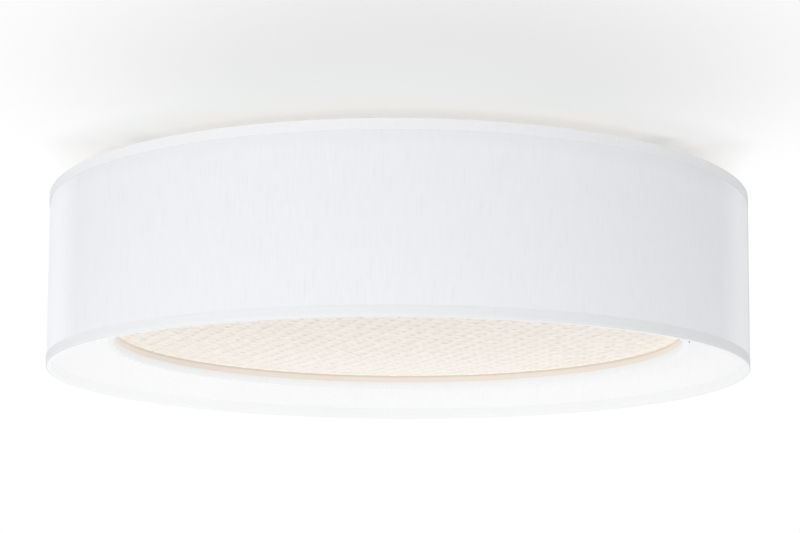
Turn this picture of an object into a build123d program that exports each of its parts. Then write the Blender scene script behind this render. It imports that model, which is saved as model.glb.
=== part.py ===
from build123d import *
from math import cos, degrees, radians, sin, sqrt, tan
import os

# A flush mount ceiling light: two fabric drums, one inside the other, hung under a shallow steel pan.
# The origin is the middle of the ceiling plane, +Z points up into the ceiling, and -Y is the side that
# faces a viewer in the room. Sizes are millimetres, and every piece lies at or below z = 0.

# Driving dimensions: the two drums
OUTER_DIAMETER = 500.0
OUTER_HEIGHT = 122.0
CEILING_GAP = 8.0  # from the ceiling to the top of the outer drum
INNER_DIAMETER = 414.0
INNER_RECESS = 19.0  # how far the inner drum's rim sits above the outer drum's
PANEL_THICKNESS = 1.0  # fabric laminated to a styrene sheet
TAPE_THICKNESS = 0.4
TAPE_HEIGHT = 7.0
HOOP_THICKNESS = 1.5
HOOP_HEIGHT = 6.6
LAP_WIDTH = 12.0
LAP_THICKNESS = 0.35
LAP_ANGLE = -11.5  # degrees from +X: the seam stands at the right side of the drum, seen from the front

# Driving dimensions: the diffuser and the hoop that it rests on
SEAT_THICKNESS = 2.4
SEAT_HEIGHT = 10.0
DIFFUSER_THICKNESS = 3.0
DIFFUSER_CLEARANCE = 0.6
DIFFUSER_DROP = 6.5  # how far the dished middle hangs below its rim
DIFFUSER_FLAT = 0.5  # the share of its radius over which the middle is level

# Driving dimensions: the pan, and the brackets that hang the drums from it
PAN_SIDE = 244.0
PAN_DEPTH = 14.0
PAN_SHEET = 1.0
PAN_FLANGE = 6.0
PAN_FOLD = 2.0  # outside radius of its folds
BRACKET_SHEET = 1.5
BRACKET_WIDTH = 16.0
BRACKET_START = 146.0
BRACKET_END_ROUNDING = 7.0
BRACKET_ANGLES = (45, 135, 225, 315)
TAB_WIDTH = 9.0
TAB_LENGTH = 6.5
TAB_CHAMFER = 1.5
STUD_CIRCLE_RADIUS = 157.0
STUD_RADIUS = 2.5
STUD_LENGTH = 12.0
SHADE_NUT_FLATS = 8.0
SHADE_NUT_HEIGHT = 4.7
RUNNING_CLEARANCE = 0.08
HOLE_CLEARANCE = 0.25

# Driving dimensions: the mounting bar
BAR_LENGTH = 134.0
BAR_WIDTH = 22.0
BAR_THICKNESS = 2.0
BOX_SCREW_SPACING = 88.9  # a standard ceiling box, 3 1/2 inches between its screws
BAR_SLOT_LENGTH = 16.0
BAR_SLOT_WIDTH = 5.0
BAR_STUD_X = 60.0
BAR_STUD_RADIUS = 2.0
BAR_STUD_LENGTH = 18.0
PAN_NUT_FLATS = 7.0
PAN_NUT_HEIGHT = 3.2

# Driving dimensions: the electrical pieces under the pan
GROMMET_Y = -26.0
GROMMET_BORE_RADIUS = 5.0
GROMMET_RADIUS = 6.5
GROMMET_LENGTH = 4.0
GROMMET_HEAD_RADIUS = 8.3
BLOCK_CENTRE = (-30.0, -60.0)
BLOCK_SIZE = (30.0, 17.0, 9.0)
BLOCK_POLES = 3
BLOCK_PITCH = 8.0
BLOCK_RIDGE = (6.0, 11.0, 4.0)
BLOCK_WELL_RADIUS = 2.2
BLOCK_WELL_DEPTH = 3.0
EARTH_SCREW_CENTRE = (2.0, -43.0)
EARTH_SCREW_FLATS = 8.0
EARTH_SCREW_HEIGHT = 4.0
DRIVER_CENTRE_Y = 34.0
DRIVER_SIZE = (104.0, 44.0, 26.0)
DRIVER_CORNER = 3.0
DRIVER_EAR = (9.0, 30.0, 1.5)
LED_BAR_COUNT = 4
LED_BAR_RADIUS = 100.0
LED_BAR_SIZE = (20.0, 150.0, 1.6)
LEDS_PER_BAR = 8
LED_PITCH = 14.0
LED_SIZE = (2.8, 3.5, 0.8)
CONNECTOR_SIZE = (8.0, 10.0, 4.0)
CONNECTOR_OFFSET = 68.0
CHAIN_END = 1  # the bar, counted from 0, where the chain of leads ends

# Driving dimensions: the leads, and how far each runs straight before it turns
TWIN_LEAD = (3.2, 1.6)  # two cores side by side in one flat sheath
SINGLE_LEAD = (2.0, 2.0)
SUPPLY_LEAD_START = 16.0
SUPPLY_LEAD_CROSSING = 40.0  # from the block to where it has swung clear of the bar stud
SUPPLY_LEAD_SWING = 24.0  # beyond the driver's end
LED_LEAD_START = 14.0
LED_LEAD_END = 15.0

# Heights and radii that follow from the driving dimensions
OUTER_RADIUS = OUTER_DIAMETER / 2
INNER_RADIUS = INNER_DIAMETER / 2
OUTER_TOP = -CEILING_GAP
OUTER_BOTTOM = OUTER_TOP - OUTER_HEIGHT
INNER_BOTTOM = OUTER_BOTTOM + INNER_RECESS
PAN_UNDERSIDE = -PAN_DEPTH
PLATE_TOP = PAN_UNDERSIDE + PAN_SHEET
BRACKET_UNDERSIDE = PAN_UNDERSIDE - BRACKET_SHEET
INNER_TOP = BRACKET_UNDERSIDE

OUTER_PANEL_OUTSIDE = OUTER_RADIUS - TAPE_THICKNESS
OUTER_PANEL_INSIDE = OUTER_PANEL_OUTSIDE - PANEL_THICKNESS
OUTER_HOOP_INSIDE = OUTER_PANEL_INSIDE - HOOP_THICKNESS
INNER_PANEL_INSIDE = INNER_RADIUS - PANEL_THICKNESS
INNER_HOOP_INSIDE = INNER_PANEL_INSIDE - HOOP_THICKNESS
SEAT_INSIDE = INNER_PANEL_INSIDE - SEAT_THICKNESS
SEAT_BOTTOM = INNER_BOTTOM + TAPE_THICKNESS
SEAT_TOP = SEAT_BOTTOM + SEAT_HEIGHT
LEAD_LEVEL = PAN_UNDERSIDE - LED_BAR_SIZE[2] - CONNECTOR_SIZE[2] / 2


def turned(corners, sweep=360):
    """A ring turned about Z from (radius, height) corners, or a part of one, starting at +X."""
    outline = Polyline(*[(radius, 0, height) for radius, height in corners], close=True)
    return revolve(make_face(outline), Axis.Z, revolution_arc=sweep)


def band(inside, outside, low, high):
    """A plain ring of rectangular section."""
    return turned([(inside, low), (outside, low), (outside, high), (inside, high)])


def block(size, centre, top):
    """A box given by its size, its centre in plan and the height of its top face."""
    return Pos(centre[0], centre[1], top - size[2] / 2) * Box(*size)


def rod(radius, centre, low, high):
    """An upright cylinder between two heights."""
    return Pos(centre[0], centre[1], (low + high) / 2) * Cylinder(radius, high - low)


def around(radius, angle):
    """A point in plan at a radius and an angle from +X in degrees."""
    return radius * cos(radians(angle)), radius * sin(radians(angle))


def flat_seat(radius, width):
    """How far out a flat face of this width can stand inside a hoop of this radius."""
    return sqrt(radius**2 - (width / 2) ** 2)


def hexagon(flats, low, high):
    """An upright hexagonal prism, with two of its flats facing +X and -X."""
    outline = RegularPolygon(flats / 2, 6, major_radius=False, rotation=30)
    return Pos(0, 0, low) * extrude(outline, high - low)


# The outer drum: a laminated panel with taped edges, and a hoop inside each end


def outer_panel():
    """The drum's wall: tape proud at both edges, and the strip where the panel's two ends lap."""
    low_tape_top = OUTER_BOTTOM + TAPE_HEIGHT
    high_tape_bottom = OUTER_TOP - TAPE_HEIGHT
    wall = turned(
        [
            (OUTER_PANEL_INSIDE, OUTER_BOTTOM),
            (OUTER_RADIUS, OUTER_BOTTOM),
            (OUTER_RADIUS, low_tape_top),
            (OUTER_PANEL_OUTSIDE, low_tape_top),
            (OUTER_PANEL_OUTSIDE, high_tape_bottom),
            (OUTER_RADIUS, high_tape_bottom),
            (OUTER_RADIUS, OUTER_TOP),
            (OUTER_PANEL_INSIDE, OUTER_TOP),
        ]
    )
    lap_inside = OUTER_PANEL_OUTSIDE - LAP_THICKNESS
    lap_outside = OUTER_PANEL_OUTSIDE + LAP_THICKNESS
    lap_sweep = degrees(LAP_WIDTH / OUTER_RADIUS)
    lap = turned(
        [
            (lap_inside, low_tape_top),
            (lap_outside, low_tape_top),
            (lap_outside, high_tape_bottom),
            (lap_inside, high_tape_bottom),
        ],
        lap_sweep,
    )
    return wall + Rot(0, 0, LAP_ANGLE - lap_sweep / 2) * lap


def outer_hoop(low):
    """A flat steel hoop, standing on edge inside the panel."""
    return band(OUTER_HOOP_INSIDE, OUTER_PANEL_INSIDE, low, low + HOOP_HEIGHT)


# The inner drum, which also holds the diffuser


def inner_panel():
    return band(INNER_PANEL_INSIDE, INNER_RADIUS, INNER_BOTTOM, INNER_TOP)


def inner_top_hoop():
    return band(INNER_HOOP_INSIDE, INNER_PANEL_INSIDE, INNER_TOP - HOOP_HEIGHT, INNER_TOP)


def diffuser_seat_hoop():
    """The deeper hoop at the bottom: its upper edge is the ledge that the diffuser rests on."""
    return band(SEAT_INSIDE, INNER_PANEL_INSIDE, SEAT_BOTTOM, SEAT_TOP)


def diffuser():
    """A round panel, dished a little towards the room, with a flat rim that lies on the seat hoop."""
    rim_outside = INNER_PANEL_INSIDE - DIFFUSER_CLEARANCE
    rim_inside = SEAT_INSIDE - DIFFUSER_CLEARANCE
    middle = SEAT_TOP - DIFFUSER_DROP
    underside = [
        (0, middle),
        (rim_inside * DIFFUSER_FLAT, middle),
        (rim_inside, SEAT_TOP),
        (rim_outside, SEAT_TOP),
    ]
    upper_side = [(radius, height + DIFFUSER_THICKNESS) for radius, height in reversed(underside)]
    return turned(underside + upper_side)


# The shade brackets: four strips that hang both drums from the pan's studs


def shade_bracket(angle):
    """A flat strip with an upturned end, welded inside the outer hoop, and a tab lanced and bent down
    from it, welded inside the inner hoop. Its inner end has the hole for the stud."""
    end_outside = flat_seat(OUTER_HOOP_INSIDE, BRACKET_WIDTH)
    end_inside = end_outside - BRACKET_SHEET
    end_top = OUTER_TOP - TAPE_THICKNESS
    profile = Polyline(
        (BRACKET_START, 0, BRACKET_UNDERSIDE),
        (end_outside, 0, BRACKET_UNDERSIDE),
        (end_outside, 0, end_top),
        (end_inside, 0, end_top),
        (end_inside, 0, PAN_UNDERSIDE),
        (BRACKET_START, 0, PAN_UNDERSIDE),
        close=True,
    )
    strip = extrude(make_face(profile), BRACKET_WIDTH / 2, both=True)
    crosswise = strip.edges().filter_by(Axis.Y)
    outer_bend = crosswise.filter_by_position(Axis.X, end_outside, end_outside).sort_by(Axis.Z)[0]
    strip = fillet(outer_bend, 2 * BRACKET_SHEET)
    crosswise = strip.edges().filter_by(Axis.Y)
    inner_bend = crosswise.filter_by_position(Axis.X, end_inside, end_inside).sort_by(Axis.Z)[0]
    strip = fillet(inner_bend, BRACKET_SHEET)
    end_corners = strip.edges().filter_by(Axis.Z).filter_by_position(Axis.X, BRACKET_START, BRACKET_START)
    strip = fillet(end_corners, BRACKET_END_ROUNDING)

    tab_outside = flat_seat(INNER_HOOP_INSIDE, TAB_WIDTH)
    tab_inside = tab_outside - BRACKET_SHEET
    tab_centre = ((tab_outside + tab_inside) / 2, 0)
    tab = block((BRACKET_SHEET, TAB_WIDTH, TAB_LENGTH), tab_centre, BRACKET_UNDERSIDE)
    tab = chamfer(tab.edges().filter_by(Axis.X).group_by(Axis.Z)[0], TAB_CHAMFER)
    window_centre = (tab_inside - TAB_LENGTH / 2, 0)
    window = block((TAB_LENGTH, TAB_WIDTH, BRACKET_SHEET), window_centre, PAN_UNDERSIDE)
    hole = rod(STUD_RADIUS + HOLE_CLEARANCE, (STUD_CIRCLE_RADIUS, 0), BRACKET_UNDERSIDE, PAN_UNDERSIDE)
    return Rot(0, 0, angle) * (strip + tab - window - hole)


def shade_nut(angle):
    """The nut that holds one bracket up, on a running fit."""
    bottom = BRACKET_UNDERSIDE - SHADE_NUT_HEIGHT
    nut = hexagon(SHADE_NUT_FLATS, bottom, BRACKET_UNDERSIDE)
    nut -= rod(STUD_RADIUS + RUNNING_CLEARANCE, (0, 0), bottom, BRACKET_UNDERSIDE)
    x, y = around(STUD_CIRCLE_RADIUS, angle)
    return Pos(x, y, 0) * nut


# What is fixed to the ceiling


def tray(side, depth, fold):
    """A square block hung from the ceiling plane, its four lower edges rounded like folds."""
    body = block((side, side, depth), (0, 0), 0)
    return fillet(body.faces().sort_by(Axis.Z)[0].edges(), fold)


def ceiling_pan():
    """A folded square tray, open towards the ceiling, with a flange round its rim."""
    hollow_side = PAN_SIDE - 2 * PAN_SHEET
    flange_side = PAN_SIDE + 2 * PAN_FLANGE
    pan = tray(PAN_SIDE, PAN_DEPTH, PAN_FOLD)
    pan += block((flange_side, flange_side, PAN_SHEET), (0, 0), 0)
    pan -= tray(hollow_side, PAN_DEPTH - PAN_SHEET, PAN_FOLD - PAN_SHEET)
    pan -= rod(GROMMET_RADIUS, (0, GROMMET_Y), PAN_UNDERSIDE, PLATE_TOP)
    for side in (-1, 1):
        centre = (side * BAR_STUD_X, 0)
        pan -= rod(BAR_STUD_RADIUS + HOLE_CLEARANCE, centre, PAN_UNDERSIDE, PLATE_TOP)
    return pan


def carrier_studs():
    """Four studs welded under the pan's plate."""
    return [
        rod(STUD_RADIUS, around(STUD_CIRCLE_RADIUS, angle), PAN_UNDERSIDE - STUD_LENGTH, PAN_UNDERSIDE)
        for angle in BRACKET_ANGLES
    ]


def mounting_bar():
    """The slotted strap that two screws hold to the ceiling box."""
    bar = block((BAR_LENGTH, BAR_WIDTH, BAR_THICKNESS), (0, 0), 0)
    for side in (-1, 1):
        slot = extrude(SlotOverall(BAR_SLOT_LENGTH, BAR_SLOT_WIDTH), BAR_THICKNESS, both=True)
        bar -= Pos(side * BOX_SCREW_SPACING / 2, 0, 0) * slot
    return bar


def bar_studs():
    """Two threaded studs, pressed into the bar, that reach down through the pan."""
    low = -BAR_THICKNESS - BAR_STUD_LENGTH
    return [rod(BAR_STUD_RADIUS, (side * BAR_STUD_X, 0), low, -BAR_THICKNESS) for side in (-1, 1)]


def pan_nuts():
    """The two nuts that hold the pan up to the bar."""
    nuts = []
    for side in (-1, 1):
        nut = hexagon(PAN_NUT_FLATS, PAN_UNDERSIDE - PAN_NUT_HEIGHT, PAN_UNDERSIDE)
        nut -= rod(BAR_STUD_RADIUS, (0, 0), PAN_UNDERSIDE - PAN_NUT_HEIGHT, PAN_UNDERSIDE)
        nuts.append(Pos(side * BAR_STUD_X, 0, 0) * nut)
    return nuts


def cable_grommet():
    """A rubber sleeve where the supply comes through, its head against the pan's underside."""
    middle = (PAN_UNDERSIDE + PLATE_TOP) / 2
    low = middle - GROMMET_LENGTH / 2
    high = low + GROMMET_LENGTH
    grommet = turned(
        [
            (GROMMET_BORE_RADIUS, low),
            (GROMMET_HEAD_RADIUS, low),
            (GROMMET_HEAD_RADIUS, PAN_UNDERSIDE),
            (GROMMET_RADIUS, PAN_UNDERSIDE),
            (GROMMET_RADIUS, high),
            (GROMMET_BORE_RADIUS, high),
        ]
    )
    return Pos(0, GROMMET_Y, 0) * grommet


# The electrical pieces, all under the pan's plate


def terminal_block():
    """A three-pole block: a plain base with a ridge over each pole, and a screw well in each ridge."""
    body = block(BLOCK_SIZE, BLOCK_CENTRE, PAN_UNDERSIDE)
    ridge_top = PAN_UNDERSIDE - BLOCK_SIZE[2]
    first = BLOCK_CENTRE[0] - BLOCK_PITCH * (BLOCK_POLES - 1) / 2
    for pole in range(BLOCK_POLES):
        x = first + BLOCK_PITCH * pole
        ridge = block(BLOCK_RIDGE, (x, BLOCK_CENTRE[1]), ridge_top)
        ridge_bottom = ridge_top - BLOCK_RIDGE[2]
        well_top = ridge_bottom + BLOCK_WELL_DEPTH
        ridge -= rod(BLOCK_WELL_RADIUS, (x, BLOCK_CENTRE[1]), ridge_bottom, well_top)
        body += ridge
    return body


def earth_screw():
    """The hexagonal head of the screw that earths the pan."""
    x, y = EARTH_SCREW_CENTRE
    return Pos(x, y, 0) * hexagon(EARTH_SCREW_FLATS, PAN_UNDERSIDE - EARTH_SCREW_HEIGHT, PAN_UNDERSIDE)


def driver_case():
    """The power supply's case, with a fixing ear at each end."""
    case = block(DRIVER_SIZE, (0, DRIVER_CENTRE_Y), PAN_UNDERSIDE)
    case = fillet(case.edges().filter_by(Axis.Z), DRIVER_CORNER)
    for side in (-1, 1):
        x = side * (DRIVER_SIZE[0] + DRIVER_EAR[0]) / 2
        case += block(DRIVER_EAR, (x, DRIVER_CENTRE_Y), PAN_UNDERSIDE)
    return case


def led_bar():
    """One bar, on the +X side, its length along Y."""
    return block(LED_BAR_SIZE, (LED_BAR_RADIUS, 0), PAN_UNDERSIDE)


def led_row():
    """The row of LED packages on one bar."""
    surface = PAN_UNDERSIDE - LED_BAR_SIZE[2]
    first = -LED_PITCH * (LEDS_PER_BAR - 1) / 2
    return [block(LED_SIZE, (LED_BAR_RADIUS, first + LED_PITCH * i), surface) for i in range(LEDS_PER_BAR)]


def led_connectors():
    """A push-in connector at each end of each bar that a lead goes to. The chain of bars ends at the
    second one, so that has a single connector."""
    surface = PAN_UNDERSIDE - LED_BAR_SIZE[2]
    pieces = []
    for number in range(LED_BAR_COUNT):
        ends = (1, -1) if number != CHAIN_END else (1,)
        for end in ends:
            body = block(CONNECTOR_SIZE, (LED_BAR_RADIUS, end * CONNECTOR_OFFSET), surface)
            pieces.append(Rot(0, 0, 90 * number) * body)
    return pieces


def lead(name, size, route):
    """An insulated lead along a route: straight runs joined by arcs as large as the runs allow."""
    points = [Vector(*point) for point in route]
    runs = [end - start for start, end in zip(points, points[1:])]
    bends = []
    for before, after in zip(runs, runs[1:]):
        half_turn = radians(before.get_angle(after)) / 2
        bends.append(0.45 * min(before.length, after.length) / tan(half_turn))
    path = FilletPolyline(*points, radius=bends)
    level_side = Vector(0, 0, 1).cross(runs[0])
    section = Plane(origin=points[0], x_dir=level_side, z_dir=runs[0]) * Rectangle(*size)
    tube = sweep(section, path=path)
    share = tube.volume / (section.area * path.length)
    print(name, "bend radii", [round(bend, 1) for bend in bends], "volume share", round(share, 4))
    return tube


def supply_lead():
    """The twin lead from the terminal block, round the bar stud, to the driver's left end."""
    x = BLOCK_CENTRE[0] - BLOCK_PITCH / 2
    y = BLOCK_CENTRE[1] + BLOCK_SIZE[1] / 2
    driver_end = -DRIVER_SIZE[0] / 2
    turn_x = driver_end - SUPPLY_LEAD_SWING
    route = [
        (x, y, LEAD_LEVEL),
        (x, y + SUPPLY_LEAD_START, LEAD_LEVEL),
        (turn_x, y + SUPPLY_LEAD_CROSSING, LEAD_LEVEL),
        (turn_x, DRIVER_CENTRE_Y, LEAD_LEVEL),
        (driver_end, DRIVER_CENTRE_Y, LEAD_LEVEL),
    ]
    return lead("supply_lead", TWIN_LEAD, route)


def earth_lead():
    """From the block's last pole to the earth screw."""
    x = BLOCK_CENTRE[0] + BLOCK_PITCH
    y = BLOCK_CENTRE[1] + BLOCK_SIZE[1] / 2
    screw_x, screw_y = EARTH_SCREW_CENTRE
    level = PAN_UNDERSIDE - EARTH_SCREW_HEIGHT / 2
    route = [(x, y, level), (x, screw_y, level), (screw_x - EARTH_SCREW_FLATS / 2, screw_y, level)]
    return lead("earth_lead", SINGLE_LEAD, route)


def led_lead():
    """The twin lead from the driver's right end to the first bar's connector."""
    driver_end = DRIVER_SIZE[0] / 2
    connector_side = LED_BAR_RADIUS - CONNECTOR_SIZE[0] / 2
    route = [
        (driver_end, DRIVER_CENTRE_Y, LEAD_LEVEL),
        (driver_end + LED_LEAD_START, DRIVER_CENTRE_Y, LEAD_LEVEL),
        (connector_side - LED_LEAD_END, CONNECTOR_OFFSET, LEAD_LEVEL),
        (connector_side, CONNECTOR_OFFSET, LEAD_LEVEL),
    ]
    return lead("led_lead", TWIN_LEAD, route)


def led_link(number):
    """The twin lead round the corner between two neighbouring bars."""
    end = CONNECTOR_OFFSET + CONNECTOR_SIZE[1] / 2
    corner = LED_BAR_RADIUS
    route = [(corner, end, LEAD_LEVEL), (corner, corner, LEAD_LEVEL), (end, corner, LEAD_LEVEL)]
    return Rot(0, 0, 90 * number) * lead(f"led_link_{number}", TWIN_LEAD, route)


# Every node, by name. A list is a group of separate solids.
nodes = {
    "mounting_bar": mounting_bar(),
    "bar_studs": bar_studs(),
    "pan_nuts": pan_nuts(),
    "ceiling_pan": ceiling_pan(),
    "carrier_studs": carrier_studs(),
    "cable_grommet": cable_grommet(),
    "terminal_block": terminal_block(),
    "earth_screw": earth_screw(),
    "driver_case": driver_case(),
    "led_connectors": led_connectors(),
    "supply_lead": supply_lead(),
    "earth_lead": earth_lead(),
    "led_lead": led_lead(),
    "outer_panel": outer_panel(),
    "outer_top_hoop": outer_hoop(OUTER_TOP - TAPE_THICKNESS - HOOP_HEIGHT),
    "outer_bottom_hoop": outer_hoop(OUTER_BOTTOM + TAPE_THICKNESS),
    "inner_panel": inner_panel(),
    "inner_top_hoop": inner_top_hoop(),
    "diffuser_seat_hoop": diffuser_seat_hoop(),
    "diffuser": diffuser(),
}
for number in range(LED_BAR_COUNT):
    quarter = Rot(0, 0, 90 * number)
    nodes[f"led_bar_{number + 1}"] = quarter * led_bar()
    nodes[f"led_row_{number + 1}"] = [quarter * package for package in led_row()]
for number in range(1, LED_BAR_COUNT):
    nodes[f"led_link_{number}"] = led_link(number)
for number, angle in enumerate(BRACKET_ANGLES, start=1):
    nodes[f"shade_bracket_{number}"] = shade_bracket(angle)
    nodes[f"shade_nut_{number}"] = shade_nut(angle)

os.makedirs("parts", exist_ok=True)
for name, shape in nodes.items():
    pieces = shape if isinstance(shape, list) else [shape]
    solids = [solid for piece in pieces for solid in piece.solids()]
    whole = solids[0] if len(solids) == 1 else Compound(solids)
    export_step(whole, f"parts/{name}.step")
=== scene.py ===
import math

import bmesh
import bpy
from mathutils import Matrix, Vector


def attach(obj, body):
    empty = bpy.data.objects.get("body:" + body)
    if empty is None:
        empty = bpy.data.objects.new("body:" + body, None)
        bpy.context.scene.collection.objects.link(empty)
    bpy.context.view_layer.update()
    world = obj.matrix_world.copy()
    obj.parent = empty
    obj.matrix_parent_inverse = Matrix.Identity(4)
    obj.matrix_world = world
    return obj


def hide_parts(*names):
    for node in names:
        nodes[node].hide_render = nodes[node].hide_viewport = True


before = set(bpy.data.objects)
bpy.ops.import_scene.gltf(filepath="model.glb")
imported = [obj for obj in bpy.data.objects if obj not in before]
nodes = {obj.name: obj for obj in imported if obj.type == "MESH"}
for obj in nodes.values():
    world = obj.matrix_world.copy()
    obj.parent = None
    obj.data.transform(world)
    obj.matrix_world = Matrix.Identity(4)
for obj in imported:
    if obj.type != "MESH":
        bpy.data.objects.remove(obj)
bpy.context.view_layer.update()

# Mounting bar
# A flat strap of zinc-plated steel, slotted for the ceiling box's two screws. It is blanked and
# punched, so its plating has a fine grain along its length and a few duller clouds.


def give(tree, socket, value):
    """Links a value to an input, or sets it there."""
    if isinstance(value, bpy.types.NodeSocket):
        tree.links.new(value, socket)
    else:
        socket.default_value = value


def node(tree, kind, inputs=None, **settings):
    """A shader node with its settings made and its inputs given a value or a link."""
    made = tree.nodes.new("ShaderNode" + kind)
    for key, value in settings.items():
        setattr(made, key, value)
    for key, value in (inputs or {}).items():
        give(tree, made.inputs[key], value)
    return made


def number(tree, operation, *values):
    """One sum on numbers."""
    return node(tree, "Math", dict(enumerate(values)), operation=operation).outputs[0]


def vector(tree, operation, *values):
    """One sum on places, directions or colours."""
    return node(tree, "VectorMath", dict(enumerate(values)), operation=operation).outputs[0]


def ranged(tree, value, start, end, low=0.0, high=1.0, **settings):
    """A number that goes from low to high between a start and an end, and is level beyond them."""
    inputs = {"Value": value, "From Min": start, "From Max": end, "To Min": low, "To Max": high}
    return node(tree, "MapRange", inputs, **settings).outputs["Result"]


def blended(tree, share, first, second):
    """A colour between two others, each plain or linked."""
    ends = [c if isinstance(c, bpy.types.NodeSocket) else (*c, 1) for c in (first, second)]
    return node(tree, "Mix", {0: share, 6: ends[0], 7: ends[1]}, data_type="RGBA").outputs[2]


def noise(tree, place, scale, detail, roughness=0.5):
    """Soft random spots, from 0 to 1."""
    inputs = {"Vector": place, "Scale": scale, "Detail": detail, "Roughness": roughness}
    return node(tree, "TexNoise", inputs).outputs["Fac"]


def place_on(tree):
    """Where a shaded point lies on the object."""
    return node(tree, "TexCoord").outputs["Object"]


def plain_finish(name, colour, roughness, metallic=0.0):
    """A material with plain values on its own shader, ready for patterns to be linked in."""
    made = bpy.data.materials.new(name)
    made.use_nodes = True
    shader = made.node_tree.nodes["Principled BSDF"]
    shader.inputs["Base Color"].default_value = (*colour, 1)
    shader.inputs["Roughness"].default_value = roughness
    shader.inputs["Metallic"].default_value = metallic
    return made, made.node_tree, shader


def new_group(name, inputs, outputs):
    """A shader node group with named number or vector sockets."""
    group = bpy.data.node_groups.new(name, "ShaderNodeTree")
    kinds = {"v": "NodeSocketVector", "f": "NodeSocketFloat"}
    for label, kind in inputs.items():
        group.interface.new_socket(label, in_out="INPUT", socket_type=kinds[kind])
    for label, kind in outputs.items():
        group.interface.new_socket(label, in_out="OUTPUT", socket_type=kinds[kind])
    start = group.nodes.new("NodeGroupInput")
    end = group.nodes.new("NodeGroupOutput")
    return group, start.outputs, end.inputs


def place_group(tree, group, inputs):
    """The outputs of a node group in a material, with its own values."""
    made = tree.nodes.new("ShaderNodeGroup")
    made.node_tree = group
    for key, value in inputs.items():
        give(tree, made.inputs[key], value)
    return made.outputs


# Grain: a mask and a height that change over a surface, stretched along any axis
grain, given, put = new_group(
    "grain", {"Stretch": "v", "Fine": "f", "Clouds": "f"}, {"Mask": "f", "Height": "f"}
)
where = place_on(grain)
fine = noise(grain, vector(grain, "MULTIPLY", where, given["Stretch"]), given["Fine"], 3.0)
clouds = noise(grain, where, given["Clouds"], 2.0)
both = number(grain, "MULTIPLY", fine, clouds)
grain.links.new(ranged(grain, both, 0.12, 0.4), put["Mask"])
grain.links.new(fine, put["Height"])

RELIEF = 0.0001


def grained(
    name, dark, light, roughness, fine, clouds=40, metallic=0.0, stretch=(1, 1, 1), bump=0.15
):
    """A finish whose colour and roughness drift between two values, with a slight relief."""
    made, tree, shader = plain_finish(name, light, roughness[1], metallic)
    marks = place_group(tree, grain, {"Stretch": stretch, "Fine": fine, "Clouds": clouds})
    tint = blended(tree, marks["Mask"], dark, light)
    dull = ranged(tree, marks["Mask"], 0.0, 1.0, roughness[1], roughness[0])
    relief = node(tree, "Bump", {"Height": marks["Height"], "Strength": bump, "Distance": RELIEF})
    tree.links.new(tint, shader.inputs["Base Color"])
    tree.links.new(dull, shader.inputs["Roughness"])
    tree.links.new(relief.outputs["Normal"], shader.inputs["Normal"])
    return made


def dress(name, material):
    """Gives a carried-over node its finish."""
    mesh = nodes[name].data
    mesh.materials.clear()
    mesh.materials.append(material)


zinc_strap = grained(
    "zinc plated strap",
    (0.5, 0.51, 0.53),
    (0.72, 0.73, 0.74),
    (0.28, 0.42),
    2600,
    metallic=1.0,
    stretch=(0.06, 1, 1),
)
dress("mounting_bar", zinc_strap)

# Bar studs and pan nuts
# Two M4 studs pressed into the bar, and the hexagon nuts that draw the pan up to it. Both are zinc
# plated. The thread is rolled, with a 0.7 mm pitch.


def draw_outline(part, points, closed=False):
    """An outline in the plane of X and Z, joined in a row or all the way round."""
    rows = [part.verts.new((r, 0, z)) for r, z in points]
    following = rows[1:] + rows[:1] if closed else rows[1:]
    edges = [part.edges.new(pair) for pair in zip(rows, following)]
    return rows + edges


def cut_off(part, spot, out):
    """Cuts away what lies past a plane, and closes the cut."""
    geom = part.verts[:] + part.edges[:] + part.faces[:]
    cut = bmesh.ops.bisect_plane(part, geom=geom, plane_co=spot, plane_no=out, clear_outer=True)
    edges = [item for item in cut["geom_cut"] if isinstance(item, bmesh.types.BMEdge)]
    bmesh.ops.holes_fill(part, edges=edges, sides=0)


def join(bm, part):
    """Adds one bmesh to another and frees it."""
    holder = bpy.data.meshes.new("holder")
    part.to_mesh(holder)
    part.free()
    bm.from_mesh(holder)
    bpy.data.meshes.remove(holder)


def add_thread(bm, centre, radius, pitch, low, high):
    """One threaded rod: a ridge wound round it, cut square at both ends."""
    part = bmesh.new()
    root = radius - 0.6 * pitch
    start = low - 1.3 * pitch
    ridge = [(root, 0), (radius, 0.45 * pitch), (radius, 0.55 * pitch), (root, pitch)]
    turns = math.ceil((high - low) / pitch) + 3
    steps = 14
    bmesh.ops.spin(
        part,
        geom=draw_outline(part, [(r, start + z) for r, z in ridge]),
        axis=(0, 0, 1),
        cent=(0, 0, 0),
        dvec=(0, 0, pitch / steps),
        angle=2 * math.pi * turns,
        steps=steps * turns,
    )
    bmesh.ops.remove_doubles(part, verts=part.verts, dist=radius * 0.01)
    cut_off(part, (0, 0, low), (0, 0, -1))
    cut_off(part, (0, 0, high), (0, 0, 1))
    bmesh.ops.recalc_face_normals(part, faces=part.faces)
    bmesh.ops.translate(part, verts=part.verts, vec=(*centre, 0))
    join(bm, part)


def directions(count):
    """Level directions at even steps, all the way round."""
    turns = [2 * math.pi * step / count for step in range(count)]
    return [Vector((math.cos(turn), math.sin(turn), 0)) for turn in turns]


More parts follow.
